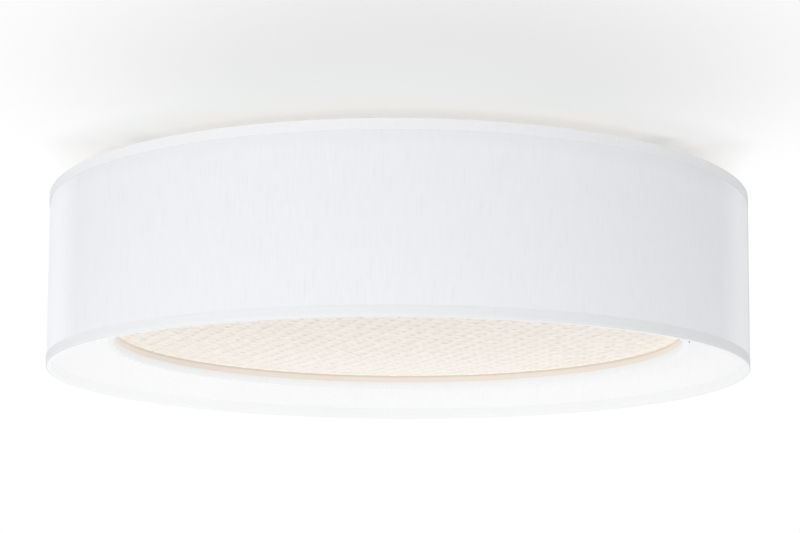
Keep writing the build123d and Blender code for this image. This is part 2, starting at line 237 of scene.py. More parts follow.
def add_hexagon_nut(bm, centre, flats, low, high):
    """One nut, with its corners chamfered at both ends. Its bore is filled by the stud it is on."""
    part = bmesh.new()
    start = Matrix.Translation((0, 0, low)) @ Matrix.Rotation(math.radians(30), 4, "Z")
    corner = flats / math.sqrt(3)
    bmesh.ops.create_circle(part, cap_ends=True, segments=6, radius=corner, matrix=start)
    sides = bmesh.ops.extrude_face_region(part, geom=part.faces[:])
    tops = [item for item in sides["geom"] if isinstance(item, bmesh.types.BMVert)]
    bmesh.ops.translate(part, verts=tops, vec=(0, 0, high - low))
    bmesh.ops.recalc_face_normals(part, faces=part.faces)
    chamfer_start, chamfer_slope = 0.49, 1.7
    for out in directions(24):
        for level, up in ((low, -1), (high, 1)):
            spot = out * flats * chamfer_start + Vector((0, 0, level))
            cut_off(part, spot, (out + Vector((0, 0, chamfer_slope * up))).normalized())
    for face in [f for f in part.faces if abs(f.normal.z) > 0.99]:
        bmesh.ops.poke(part, faces=[face])
    bmesh.ops.recalc_face_normals(part, faces=part.faces)
    bmesh.ops.translate(part, verts=part.verts, vec=(*centre, 0))
    join(bm, part)


def new_piece(name, bm, body, finishes, replaced=(), sharp=35):
    """A finished piece: its mesh and finishes, the body it rides on and the nodes it stands for."""
    mesh = bpy.data.meshes.new(name)
    bm.to_mesh(mesh)
    bm.free()
    piece = bpy.data.objects.new(name, mesh)
    bpy.context.scene.collection.objects.link(piece)
    for finish in finishes:
        mesh.materials.append(finish)
    mesh.polygons.foreach_set("use_smooth", [True] * len(mesh.polygons))
    mesh.set_sharp_from_angle(angle=math.radians(sharp))
    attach(piece, body)
    if replaced:
        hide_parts(*replaced)
    return piece


hardware = grained(
    "zinc plated hardware",
    (0.5, 0.5, 0.5),
    (0.74, 0.74, 0.72),
    (0.22, 0.36),
    1800,
    300,
    metallic=1.0,
)
M4_RADIUS, M4_PITCH, M4_FLATS = 0.002, 0.0007, 0.007
BAR_STUD_END, BAR_STUD_ROOT = -0.02, -0.002
PAN_NUT_LOW, PAN_NUT_HIGH = -0.0172, -0.014
bar_stud_places = [(-0.06, 0), (0.06, 0)]
bm = bmesh.new()
for place in bar_stud_places:
    add_thread(bm, place, M4_RADIUS, M4_PITCH, BAR_STUD_END, BAR_STUD_ROOT)
new_piece("bar_stud_threads", bm, "ceiling_base", [hardware], ["bar_studs"])
bm = bmesh.new()
for place in bar_stud_places:
    add_hexagon_nut(bm, place, M4_FLATS, PAN_NUT_LOW, PAN_NUT_HIGH)
new_piece("pan_hexagon_nuts", bm, "ceiling_base", [hardware], ["pan_nuts"])

# Ceiling pan
# A square tray of 1 mm steel, folded up at its four sides, with a narrow flange that meets the
# ceiling. It is powder coated white, which leaves a faint orange-peel skin.

powder_coat = grained(
    "white powder coat", (0.84, 0.84, 0.83), (0.88, 0.88, 0.87), (0.38, 0.5), 700, 12, bump=0.35
)
dress("ceiling_pan", powder_coat)

# Carrier studs
# Four M5 studs welded under the pan, each with the small collar of weld that holds it. The shade
# brackets hang on them.

M5_RADIUS, M5_PITCH, M5_FLATS = 0.0025, 0.0008, 0.008
STUD_CIRCLE = 0.157
STUD_END, STUD_ROOT = -0.026, -0.014
stud_turns = [math.radians(degrees) for degrees in (45, 135, 225, 315)]
stud_places = [(STUD_CIRCLE * math.cos(turn), STUD_CIRCLE * math.sin(turn)) for turn in stud_turns]
bm = bmesh.new()
for place in stud_places:
    add_thread(bm, place, M5_RADIUS, M5_PITCH, STUD_END, STUD_ROOT)
new_piece("carrier_stud_threads", bm, "ceiling_base", [hardware], ["carrier_studs"])

# Cable grommet
# A soft black sleeve that is pushed into the pan's hole and keeps the supply cable off its edge.

rubber = grained("grommet rubber", (0.02, 0.02, 0.02), (0.045, 0.045, 0.045), (0.6, 0.8), 1500)
dress("cable_grommet", rubber)

# Terminal block
# Three poles in one moulded strip of white nylon, each with a ridge over it and a clamping screw
# sunk in the ridge.

nylon = grained(
    "white nylon", (0.78, 0.78, 0.75), (0.84, 0.84, 0.81), (0.32, 0.45), 500, 60, bump=0.1
)
dress("terminal_block", nylon)


def add_screw_head(bm, centre, radius, height, up=-1):
    """A low domed head on a flat face, with a tapered recess. It points along Z, up or down."""
    part = bmesh.new()
    dome = [(1.0, 0.0), (1.0, 0.35), (0.82, 0.75), (0.5, 1.0)]
    bmesh.ops.spin(
        part,
        geom=draw_outline(part, [(radius * out, height * rise) for out, rise in dome]),
        axis=(0, 0, 1),
        cent=(0, 0, 0),
        angle=2 * math.pi,
        steps=20,
        use_merge=True,
    )
    ends = [e for e in part.edges if e.is_boundary]
    caps = bmesh.ops.holes_fill(part, edges=ends, sides=0)["faces"]
    top = max(caps, key=lambda face: face.calc_center_median().z)
    bmesh.ops.inset_region(part, faces=[top], thickness=0.12 * radius)
    floor = bmesh.ops.extrude_discrete_faces(part, faces=[top])["faces"][0]
    recess_depth, recess_taper = 0.5 * height, 0.55
    for vert in floor.verts:
        vert.co = (vert.co.x * recess_taper, vert.co.y * recess_taper, vert.co.z - recess_depth)
    bmesh.ops.holes_fill(part, edges=[e for e in part.edges if e.is_boundary], sides=0)
    bmesh.ops.recalc_face_normals(part, faces=part.faces)
    if up < 0:
        over = Matrix.Rotation(math.pi, 3, "X")
        bmesh.ops.rotate(part, verts=part.verts, cent=(0, 0, 0), matrix=over)
    bmesh.ops.translate(part, verts=part.verts, vec=centre)
    join(bm, part)


POLE_PITCH = 0.008
FIRST_POLE = Vector((-0.038, -0.06, -0.024))
TERMINAL_SCREW = 0.0019, 0.0012
bm = bmesh.new()
for pole in range(3):
    add_screw_head(bm, FIRST_POLE + Vector((POLE_PITCH * pole, 0, 0)), *TERMINAL_SCREW)
new_piece("terminal_screws", bm, "ceiling_base", [hardware])

# Earth screw
# A brass-coloured hexagon screw through the pan's plate, under which the earth lead ends.

brass = grained(
    "earth brass", (0.6, 0.45, 0.2), (0.8, 0.63, 0.3), (0.25, 0.4), 1200, 200, metallic=1.0
)
dress("earth_screw", brass)

# Driver
# The power supply in a closed case of matt white plastic with a fine moulded grain, held down by
# two screws through the ear at each end.

driver_plastic = grained(
    "driver plastic", (0.78, 0.78, 0.77), (0.83, 0.83, 0.82), (0.45, 0.6), 1600, 30, bump=0.5
)
dress("driver_case", driver_plastic)
EAR_SCREW_X, EAR_SCREW_Y, EAR_FACE = 0.0565, (0.022, 0.046), -0.0155
EAR_SCREW = 0.0026, 0.0016
bm = bmesh.new()
for x in (-EAR_SCREW_X, EAR_SCREW_X):
    for y in EAR_SCREW_Y:
        add_screw_head(bm, (x, y, EAR_FACE), *EAR_SCREW)
new_piece("driver_screws", bm, "ceiling_base", [hardware])

# LED bars
# Four circuit boards with a white solder mask on an aluminium core. A row of eight LED packages is
# soldered to each, and two screws hold it under the pan.

board_white = grained(
    "white solder mask", (0.8, 0.8, 0.8), (0.88, 0.88, 0.88), (0.3, 0.4), 900, 90, bump=0.1
)
for bar in range(1, 5):
    dress(f"led_bar_{bar}", board_white)
quarters = [math.pi / 2 * quarter for quarter in range(4)]
BAR_AT, BAR_SCREW_AT, BAR_FACE = 0.1, 0.058, -0.0156
BAR_SCREW = 0.0024, 0.0014
bm = bmesh.new()
for turn in quarters:
    for along_bar in (-BAR_SCREW_AT, BAR_SCREW_AT):
        spot = Matrix.Rotation(turn, 3, "Z") @ Vector((BAR_AT, along_bar, BAR_FACE))
        add_screw_head(bm, spot, *BAR_SCREW)
new_piece("led_bar_screws", bm, "ceiling_base", [hardware])

# LED packages
# A white moulded frame round a window of yellow phosphor, which gives a warm light when it is lit.

frame_plastic, tree, shader = plain_finish("package frame", (0.86, 0.86, 0.84), 0.35)
marks = place_group(tree, grain, {"Stretch": (1, 1, 1), "Fine": 3000, "Clouds": 400})
tree.links.new(ranged(tree, marks["Mask"], 0.0, 1.0, 0.3, 0.45), shader.inputs["Roughness"])
phosphor, tree, shader = plain_finish("lit phosphor", (0.95, 0.8, 0.4), 0.4)
marks = place_group(tree, grain, {"Stretch": (1, 1, 1), "Fine": 2500, "Clouds": 300})
warm_light = blended(tree, marks["Mask"], (1, 0.72, 0.4), (1, 0.82, 0.55))
tree.links.new(warm_light, shader.inputs["Emission Color"])
shader.inputs["Emission Strength"].default_value = 1.6
PACKAGES, PACKAGE_PITCH, PACKAGE_LEVEL = 8, 0.014, -0.016
PACKAGE_SIZE = 0.0028, 0.0035, 0.0008
FRAME_WIDTH, WINDOW_DEPTH = 0.0004, 0.0002
for bar, turn in enumerate(quarters, start=1):
    bm = bmesh.new()
    for package in range(PACKAGES):
        y = PACKAGE_PITCH * (package - (PACKAGES - 1) / 2)
        spot = Matrix.Translation((BAR_AT, y, PACKAGE_LEVEL)) @ Matrix.Diagonal((*PACKAGE_SIZE, 1))
        made = bmesh.ops.create_cube(bm, size=1, matrix=spot)
        sides = {face for vert in made["verts"] for face in vert.link_faces}
        window = min(sides, key=lambda face: face.calc_center_median().z)
        bmesh.ops.inset_region(bm, faces=[window], thickness=FRAME_WIDTH)
        bmesh.ops.translate(bm, verts=window.verts[:], vec=(0, 0, WINDOW_DEPTH))
        window.material_index = 1
    bmesh.ops.rotate(bm, verts=bm.verts, cent=(0, 0, 0), matrix=Matrix.Rotation(turn, 3, "Z"))
    name, stands_for = f"led_packages_{bar}", [f"led_row_{bar}"]
    new_piece(name, bm, "ceiling_base", [frame_plastic, phosphor], stands_for)

# Connectors
# Push-in connectors of glossy white nylon at the ends of the bars, one for each lead.

glossy_nylon = grained(
    "connector nylon", (0.82, 0.82, 0.8), (0.88, 0.88, 0.86), (0.25, 0.35), 800, 120, bump=0.1
)
dress("led_connectors", glossy_nylon)

# Leads
# Twin leads of two white insulated cores side by side, and one green earth lead. Each runs level
# under the pan from one piece to the next, with the same runs and bends as its node.


def rounded_route(points):
    """The points of a route whose corners are rounded as far as its runs allow."""
    points = [Vector(p) for p in points]
    line = [points[0]]
    for before, corner, after in zip(points, points[1:], points[2:]):
        back, ahead = before - corner, after - corner
        reach = 0.45 * min(back.length, ahead.length)
        start, end = corner + back.normalized() * reach, corner + ahead.normalized() * reach
        half = back.angle(ahead) / 2
        inward = (back.normalized() + ahead.normalized()).normalized()
        middle = corner + inward * reach / math.cos(half)
        radius = reach * math.tan(half)
        steps = 8
        for step in range(steps + 1):
            spot = start.lerp(end, step / steps)
            line.append(middle + (spot - middle).normalized() * radius)
    return line + [points[-1]]


def add_tube(bm, line, radius, shift):
    """One round core along a level line, moved sideways by a shift."""
    part = bmesh.new()
    loops = []
    for i, spot in enumerate(line):
        ahead = (line[min(i + 1, len(line) - 1)] - line[max(i - 1, 0)]).normalized()
        side = Vector((ahead.y, -ahead.x, 0)).normalized()
        axes = Matrix((side, Vector((0, 0, 1)), ahead)).transposed().to_4x4()
        place = Matrix.Translation(spot + side * shift) @ axes
        ring = bmesh.ops.create_circle(part, segments=12, radius=radius, matrix=place)
        loops.append(list({e for v in ring["verts"] for e in v.link_edges}))
    for loop, following in zip(loops, loops[1:]):
        bmesh.ops.bridge_loops(part, edges=loop + following)
    bmesh.ops.holes_fill(part, edges=[e for e in part.edges if e.is_boundary], sides=0)
    bmesh.ops.recalc_face_normals(part, faces=part.faces)
    join(bm, part)


white_sheath = grained(
    "white lead sheath", (0.76, 0.76, 0.75), (0.82, 0.82, 0.81), (0.35, 0.45), 600, 80, bump=0.1
)
green_sheath = grained(
    "green lead sheath", (0.06, 0.25, 0.06), (0.1, 0.35, 0.09), (0.35, 0.45), 600, 80, bump=0.1
)
LEAD_LEVEL, CORE_RADIUS, CORE_SHIFT = -0.0176, 0.00079, 0.0008
supply_route = [
    (-0.034, -0.0515),
    (-0.034, -0.0355),
    (-0.076, -0.0115),
    (-0.076, 0.034),
    (-0.052, 0.034),
]
led_route = [(0.052, 0.034), (0.066, 0.034), (0.081, 0.068), (0.096, 0.068)]
link_route = [(0.1, 0.073), (0.1, 0.1), (0.073, 0.1)]
routes = {"supply_lead": supply_route, "led_lead": led_route}
for link, turn in enumerate(quarters[1:], start=1):
    routes[f"led_link_{link}"] = [Matrix.Rotation(turn, 2) @ Vector(p) for p in link_route]
for name, route in routes.items():
    line = rounded_route([(x, y, LEAD_LEVEL) for x, y in route])
    bm = bmesh.new()
    for shift in (-CORE_SHIFT, CORE_SHIFT):
        add_tube(bm, line, CORE_RADIUS, shift)
    new_piece(name + "_cores", bm, "ceiling_base", [white_sheath], [name])
EARTH_LEVEL, EARTH_RADIUS = -0.016, 0.001
earth_route = [(-0.022, -0.0515), (-0.022, -0.043), (-0.002, -0.043)]
bm = bmesh.new()
add_tube(bm, rounded_route([(x, y, EARTH_LEVEL) for x, y in earth_route]), EARTH_RADIUS, 0)
new_piece("earth_lead_core", bm, "ceiling_base", [green_sheath], ["earth_lead"])

# Shade brackets and hoops
# Flat steel strip: four brackets with an upturned end and a bent-down tab, and the hoops that they
# are spot welded to. They are powder coated white, but for the diffuser's seat, which is cream with
# a painted warm glow and a painted shadow line along its top.

hoops = ["outer_top_hoop", "outer_bottom_hoop", "inner_top_hoop"]
for name in [f"shade_bracket_{bracket}" for bracket in range(1, 5)] + hoops:
    dress(name, powder_coat)


def along(tree, axis):
    """How far a shaded point lies along X (0), Y (1) or Z (2)."""
    return node(tree, "SeparateXYZ", {0: place_on(tree)}).outputs[axis]


# Painted shade and light: the seat's upper edge is painted dark where the diffuser shades it, and
# the rest has a painted warm glow from the diffuser beside it
SEAT_LEVEL = -0.1006
cream_coat_with_painted_glow = grained(
    "cream powder coat with painted glow and shadow", (0.5, 0.48, 0.45), (0.53, 0.51, 0.48), (0.38, 0.5), 700, 12, bump=0.3
)
tree, shader = cream_coat_with_painted_glow.node_tree, cream_coat_with_painted_glow.node_tree.nodes["Principled BSDF"]
cream = shader.inputs["Base Color"].links[0].from_socket
painted_shadow_band = ranged(tree, along(tree, 2), SEAT_LEVEL - 0.002, SEAT_LEVEL - 0.001)
tint = blended(tree, painted_shadow_band, cream, (0.375, 0.347, 0.32))
tree.links.new(tint, shader.inputs["Base Color"])
shader.inputs["Emission Color"].default_value = (1.0, 0.86, 0.765, 1)
shader.inputs["Emission Strength"].default_value = 0.335
dress("diffuser_seat_hoop", cream_coat_with_painted_glow)

# Shade nuts
# Four hexagon nuts, run up the carrier studs to hold the brackets against the pan.

SHADE_NUT_LOW, SHADE_NUT_HIGH = -0.0202, -0.0155
for nut, (place, turn) in enumerate(zip(stud_places, stud_turns), start=1):
    bm = bmesh.new()
    add_hexagon_nut(bm, (0, 0), M5_FLATS, SHADE_NUT_LOW, SHADE_NUT_HIGH)
    bmesh.ops.rotate(bm, verts=bm.verts, cent=(0, 0, 0), matrix=Matrix.Rotation(turn, 3, "Z"))
    bmesh.ops.translate(bm, verts=bm.verts, vec=(*place, 0))
    name, stands_for = f"shade_hexagon_nut_{nut}", [f"shade_nut_{nut}"]
    new_piece(name, bm, f"nut_{nut}", [hardware], stands_for)

# Outer drum
# White linen-look cloth laminated to a thin styrene sheet, rolled into a drum and lapped at the
# right. A folded tape covers each edge and the hoop inside it.

# Weave: threads across and along the cloth, with thicker slubs here and there
weave, given, put = new_group("weave", {"Pitch": "f", "Slubs": "f"}, {"Height": "f", "Shade": "f"})
cloth_place = node(weave, "UVMap", uv_map="wrap").outputs["UV"]
across_and_up = node(weave, "SeparateXYZ", {0: cloth_place}).outputs
waves = []
for axis in (0, 1):
    turns = number(weave, "DIVIDE", across_and_up[axis], given["Pitch"])
    waves.append(number(weave, "SINE", number(weave, "MULTIPLY", turns, 2 * math.pi)))
over = number(weave, "MULTIPLY", *waves)
slubs = []
for stretch in ((1100, 55, 1), (50, 1300, 1)):
    long_way = vector(weave, "MULTIPLY", cloth_place, stretch)
    slubs.append(noise(weave, long_way, 1.0, 2.0, roughness=0.6))
upright, level = slubs
mixed = node(weave, "Mix", {0: 0.25, 2: upright, 3: level}).outputs[0]
thick = ranged(weave, mixed, 0.35, 0.65, -1.0, 1.0)
uneven = number(weave, "MULTIPLY", thick, given["Slubs"])
rare = noise(weave, vector(weave, "MULTIPLY", cloth_place, (420, 42, 1)), 1.0, 1.0)
uneven = number(weave, "SUBTRACT", uneven, ranged(weave, rare, 0.62, 0.74))
height = number(weave, "ADD", number(weave, "MULTIPLY", over, 0.5), uneven)
weave.links.new(height, put["Height"])
weave.links.new(uneven, put["Shade"])

THREAD_PITCH, THREAD_RELIEF = 0.0006, 0.00015


def scaled(tree, colour, share, **settings):
    """A colour made brighter or darker."""
    inputs = {0: colour, "Scale": share}
    return node(tree, "VectorMath", inputs, operation="SCALE", **settings).outputs[0]


def cloth(name, dark, light, glow, strength=0.0, slubs=0.6, bump=0.35):
    """A woven cloth with a painted glow for the light it lets through, darker and dimmer in its
    thick threads.
    """
    made, tree, shader = plain_finish(name, light, 0.85)
    shader.inputs["Sheen Weight"].default_value = 0.3
    shader.inputs["Sheen Roughness"].default_value = 0.35
    shader.inputs["Specular IOR Level"].default_value = 0.2
    threads = place_group(tree, weave, {"Pitch": THREAD_PITCH, "Slubs": slubs})
    thin = ranged(tree, threads["Shade"], -1.2, 0.6)
    tint = blended(tree, thin, dark, light)
    lit = blended(tree, thin, [c * 0.96 for c in glow], glow)
    raised = {"Height": threads["Height"], "Strength": bump, "Distance": THREAD_RELIEF}
    relief = node(tree, "Bump", raised)
    tree.links.new(tint, shader.inputs["Base Color"])
    tree.links.new(scaled(tree, lit, strength, name="glow"), shader.inputs["Emission Color"])
    tree.links.new(relief.outputs["Normal"], shader.inputs["Normal"])
    shader.inputs["Emission Strength"].default_value = 1.0
    return made


def shade_by(material, share):
    """Paints a cloth's colour brighter or darker from place to place: painted light and shade."""
    tree, shader = material.node_tree, material.node_tree.nodes["Principled BSDF"]
    tint = shader.inputs["Base Color"].links[0].from_socket
    tree.links.new(scaled(tree, tint, share), shader.inputs["Base Color"])


def glow_by(material, strength):
    """Makes a cloth's painted glow stronger or weaker from place to place."""
    tree = material.node_tree
    tree.links.new(strength, tree.nodes["glow"].inputs["Scale"])


def from_axis(tree):
    """The distance of a shaded point from the light's upright axis."""
    flat = vector(tree, "MULTIPLY", place_on(tree), (1, 1, 0))
    return node(tree, "VectorMath", {0: flat}, operation="LENGTH").outputs["Value"]


TAPE = 0.0004


def light_inner_leg(material, radius, inside, outside, dimmed):
    """Gives a tape one painted glow inside a radius and another outside it, and a dimmer colour
    inside.
    """
    tree = material.node_tree
    beyond = ranged(tree, from_axis(tree), radius - TAPE, radius + TAPE)
    glow_by(material, ranged(tree, beyond, 0.0, 1.0, inside, outside))
    shade_by(material, ranged(tree, beyond, 0.0, 1.0, dimmed, 1.0))


def left_lift(tree):
    """The painted glow that the drum's inner face gains towards its left."""
    return ranged(tree, along(tree, 0), -0.2, -0.06, 0.05, 0.0)


LAP_ANGLE, LAP_WIDTH = math.radians(-11.5), 0.012
DRUM_STEPS = 240


def wrap_map(part):
    """A map of the way round a drum from its lap, and of the way up, both in metres."""
    layer = part.loops.layers.uv.new("wrap")
    for face in part.faces:
        places = [loop.vert.co for loop in face.loops]
        turns = [(math.atan2(spot.y, spot.x) - LAP_ANGLE) % (2 * math.pi) for spot in places]
        if max(turns) - min(turns) > math.pi:
            turns = [turn + 2 * math.pi if turn < math.pi else turn for turn in turns]
        for loop, turn in zip(face.loops, turns):
            loop[layer].uv = (turn * math.hypot(loop.vert.co.x, loop.vert.co.y), loop.vert.co.z)


def lathe(outline):
    """A closed ring of the outline's section, with its length and height as its map."""
    part = bmesh.new()
    bmesh.ops.spin(
        part,
        geom=draw_outline(part, outline, closed=True),
        axis=(0, 0, 1),
        cent=(0, 0, 0),
        angle=2 * math.pi,
        steps=DRUM_STEPS,
        use_merge=True,
    )
    bmesh.ops.recalc_face_normals(part, faces=part.faces)
    wrap_map(part)
    return part


def drum_sheet(name, inside, outside, low, high, material, slot, replaced=()):
    """One sheet of a drum's laminate, as thick as the space between two radii."""
    ring = lathe([(inside, low), (outside, low), (outside, high), (inside, high)])
    return new_piece(name, ring, "shade", [material], replaced)


def hem(name, wall_out, wall_in, edge, up, leg_out, leg_in, material, slot):
    """A tape folded round one edge of a drum: an outer leg, a turn, and a leg inside the hoop."""
    far_out, far_in = edge + up * leg_out, edge + up * leg_in
    turn = edge + up * TAPE
    outline = [
        (wall_out, edge),
        (wall_out, far_out),
        (wall_out - TAPE, far_out),
        (wall_out - TAPE, turn),
        (wall_in + TAPE, turn),
        (wall_in + TAPE, far_in),
        (wall_in, far_in),
        (wall_in, edge),
    ]
    piece = new_piece(name, lathe(outline), "shade", [material])
    fold = piece.modifiers.new("soft edges", "BEVEL")
    fold.width = 0.00018
    fold.segments = 2
    fold.limit_method = "ANGLE"
    fold.angle_limit = math.radians(40)
    return piece


OUTER_RADIUS, OUTER_TOP, OUTER_HEIGHT = 0.25, -0.008, 0.122
OUTER_LOW = OUTER_TOP - OUTER_HEIGHT
OUTER_CLOTH_WALL, OUTER_SHEET_WALL = (0.24905, 0.24958), (0.24862, 0.24903)
OUTER_TAPE_WALL, OUTER_TAPE_LEGS = (OUTER_RADIUS, 0.2467), (0.007, 0.0075)
EDGE_GAP = 0.0006

# The cloth's painted glow is a little weaker towards its top, where the hoop and the brackets back
# it and shade it, and its colour is painted paler at a slant: a painted sheen of its fuzz
outer_linen = cloth(
    "white linen", (0.655, 0.665, 0.685), (0.69, 0.7, 0.72), (0.95, 0.97, 1.0), bump=0.15
)
tree = outer_linen.node_tree
rising = ranged(tree, along(tree, 2), -0.125, -0.05, 0.185, 0.165)
backed = ranged(tree, along(tree, 2), -0.026, -0.0185, 1.0, 0.88)
glow_by(outer_linen, number(tree, "MULTIPLY", rising, backed))
slant = node(tree, "LayerWeight", {"Blend": 0.5}).outputs["Facing"]
shade_by(outer_linen, ranged(tree, slant, 0.62, 0.78, 1.0, 1.165))

outer_liner = cloth(
    "lit styrene liner",
    (0.42, 0.42, 0.424),
    (0.44, 0.44, 0.444),
    (0.985, 0.99, 1.0),
    slubs=0.3,
    bump=0.1,
)
# Painted glow on the liner's inner face: stronger low down and towards the left
tree = outer_liner.node_tree
falling = ranged(tree, along(tree, 2), -0.085, -0.03, 0.555, 0.36)
glow_by(outer_liner, number(tree, "ADD", falling, left_lift(tree)))

# Painted light: the tape's colour is painted brightest on the fold under the drum, and its outer
# leg a little brighter at the top
hem_tape = cloth(
    "linen hem tape", (0.775, 0.785, 0.8), (0.795, 0.805, 0.82), (0.98, 0.985, 0.99), bump=0.15
)
tree = hem_tape.node_tree
inside_glow = number(tree, "ADD", left_lift(tree), 0.6)
light_inner_leg(hem_tape, OUTER_RADIUS - EDGE_GAP, inside_glow, 0.05, 0.46)
fold = ranged(tree, along(tree, 2), OUTER_LOW + 0.0008, OUTER_LOW + 0.0025, 1.03, 0.986)
upper = ranged(tree, along(tree, 2), -0.12, -0.02, 0.0, 0.031)
shade_by(hem_tape, number(tree, "ADD", fold, upper))

levels = OUTER_LOW + EDGE_GAP, OUTER_TOP - EDGE_GAP
outer_cloth = drum_sheet(
    "outer_cloth", *OUTER_CLOTH_WALL, *levels, outer_linen, "linen", ["outer_panel"]
)
outer_sheet = drum_sheet("outer_liner", *OUTER_SHEET_WALL, *levels, outer_liner, "linen")
outer_low_hem = hem(
    "outer_bottom_tape", *OUTER_TAPE_WALL, OUTER_LOW, 1, *OUTER_TAPE_LEGS, hem_tape, "linen"
)
outer_high_hem = hem(
    "outer_top_tape", *OUTER_TAPE_WALL, OUTER_TOP, -1, *OUTER_TAPE_LEGS, hem_tape, "linen"
)

# The strip where the panel's ends lap is glued down on the drum, between the two tapes
LAP_RADIUS, LAP_THICKNESS, LAP_GAP = 0.24962, 0.0003, 0.0001
lap_height = OUTER_HEIGHT - 2 * (OUTER_TAPE_LEGS[0] + LAP_GAP)
bm = bmesh.new()
bmesh.ops.create_grid(bm, x_segments=12, y_segments=1, size=0.5)
for vert in bm.verts:
    turn = LAP_ANGLE + vert.co.x * LAP_WIDTH / OUTER_RADIUS
    level = (OUTER_TOP + OUTER_LOW) / 2 + vert.co.y * lap_height
    vert.co = (LAP_RADIUS * math.cos(turn), LAP_RADIUS * math.sin(turn), level)
bm.normal_update()
bmesh.ops.solidify(bm, geom=bm.faces[:], thickness=-LAP_THICKNESS)
bmesh.ops.recalc_face_normals(bm, faces=bm.faces)
wrap_map(bm)
outer_lap = new_piece("outer_lap", bm, "shade", [outer_linen])

# Inner drum
# The same laminate on a smaller drum, 19 mm up from the outer one's rim. Its bottom tape is folded
# round the hoop that the diffuser rests on, and three dark screws go through it into that hoop.

INNER_RADIUS, INNER_TOP, INNER_HEIGHT = 0.207, -0.0155, 0.0955
INNER_LOW = INNER_TOP - INNER_HEIGHT
INNER_CLOTH_WALL, INNER_SHEET_WALL = (0.20652, INNER_RADIUS), (0.20602, 0.2065)
INNER_TAPE_WALL, INNER_TAPE_LEGS = (0.2074, 0.2032), (0.0065, 0.005)
# The inner drum's cloth, liner and tape each carry a painted glow for the lamp's light through them
inner_linen = cloth(
    "inner linen", (0.78, 0.775, 0.77), (0.82, 0.815, 0.81), (1.0, 0.93, 0.85), strength=0.18
)
inner_liner = cloth(
    "inner styrene liner",
    (0.8, 0.79, 0.77),
    (0.84, 0.83, 0.81),
    (1.0, 0.95, 0.88),
    strength=0.2,
    slubs=0.3,
    bump=0.1,
)
inner_tape = cloth("inner hem tape", (0.8, 0.8, 0.8), (0.84, 0.84, 0.84), (0.95, 0.98, 1.0))
tree = inner_tape.node_tree
inside_glow = ranged(tree, along(tree, 2), INNER_LOW, INNER_LOW + 0.004, 0.625, 0.57)
light_inner_leg(inner_tape, INNER_TAPE_WALL[1] + EDGE_GAP, inside_glow, 0.25, 0.42)
levels = INNER_LOW + TAPE, INNER_TOP
inner_cloth = drum_sheet(
    "inner_cloth", *INNER_CLOTH_WALL, *levels, inner_linen, "inner_linen", ["inner_panel"]
)
inner_sheet = drum_sheet("inner_liner", *INNER_SHEET_WALL, *levels, inner_liner, "inner_linen")
inner_low_hem = hem(
    "inner_bottom_tape", *INNER_TAPE_WALL, INNER_LOW, 1, *INNER_TAPE_LEGS, inner_tape, "inner_linen"
)

dark_steel = grained(
    "dark screw steel", (0.05, 0.05, 0.05), (0.1, 0.1, 0.1), (0.3, 0.45), 1500, 300, metallic=0.8
)
SEAT_SCREW = 0.0011, 0.0008
SEAT_SCREW_LEVEL = -0.1083
on_wall = Matrix.Translation((INNER_TAPE_WALL[0], 0, SEAT_SCREW_LEVEL))
on_wall = on_wall @ Matrix.Rotation(math.radians(90), 4, "Y")
bm = bmesh.new()
for degrees in (-8, 112, 232):
    part = bmesh.new()
    add_screw_head(part, (0, 0, 0), *SEAT_SCREW, up=1)
    place = Matrix.Rotation(math.radians(degrees), 4, "Z") @ on_wall
    bmesh.ops.transform(part, matrix=place, verts=part.verts)
    join(bm, part)
new_piece("seat_screws", bm, "shade", [dark_steel])

# Diffuser
# A round panel of clear-cream acrylic, dished a little, with its rim flat on the seat hoop. Its
# underside is moulded with square prisms at an angle to the room, and a painted glow stands for the
# light above shining through it.

PRISM, PRISM_DEPTH = 0.0114, 0.0005
PRISM_TURN = math.radians(22.4)
RIM_OUT, RIM_IN = 0.2054, 0.2030
DROP, PANEL = 0.0065, 0.003
RINGS = (RIM_IN, 0.17, 0.136, 0.102, 0.068, 0.034, 0.0)


def dish(radius):
    """How far the panel hangs below its rim at a radius."""
    return DROP * max(0.0, 1 - (radius / RIM_IN) ** 2)


bm = bmesh.new()
cells = 2 * math.ceil(RIM_IN / PRISM) + 2
turned = Matrix.Rotation(PRISM_TURN, 4, "Z")
bmesh.ops.create_grid(bm, x_segments=cells, y_segments=cells, size=PRISM * cells / 2, matrix=turned)
bmesh.ops.poke(bm, faces=bm.faces[:], offset=-PRISM_DEPTH)
for out in directions(96):
    geom = bm.verts[:] + bm.edges[:] + bm.faces[:]
    bmesh.ops.bisect_plane(bm, geom=geom, plane_co=out * RIM_IN, plane_no=out, clear_outer=True)
for vert in bm.verts:
    vert.co.z += SEAT_LEVEL - dish(math.hypot(vert.co.x, vert.co.y))
rim = [e for e in bm.edges if e.is_boundary]
for edge in rim:
    for vert in edge.verts:
        vert.co.z = SEAT_LEVEL
# The rim's underside and edge, then the upper face in rings that follow the dish
upper_face = [(ring, PANEL - dish(ring)) for ring in RINGS]
for radius, rise in [(RIM_OUT, 0.0), (RIM_OUT, PANEL)] + upper_face:
    made = bmesh.ops.extrude_edge_only(bm, edges=rim)["geom"]
    for vert in [v for v in made if isinstance(v, bmesh.types.BMVert)]:
        flat = Vector((vert.co.x, vert.co.y)).normalized() * radius
        vert.co = (flat.x, flat.y, SEAT_LEVEL + rise)
    rim = [e for e in made if isinstance(e, bmesh.types.BMEdge)]
bmesh.ops.remove_doubles(bm, verts=list({v for e in rim for v in e.verts}), dist=0.00001)
bmesh.ops.recalc_face_normals(bm, faces=bm.faces)
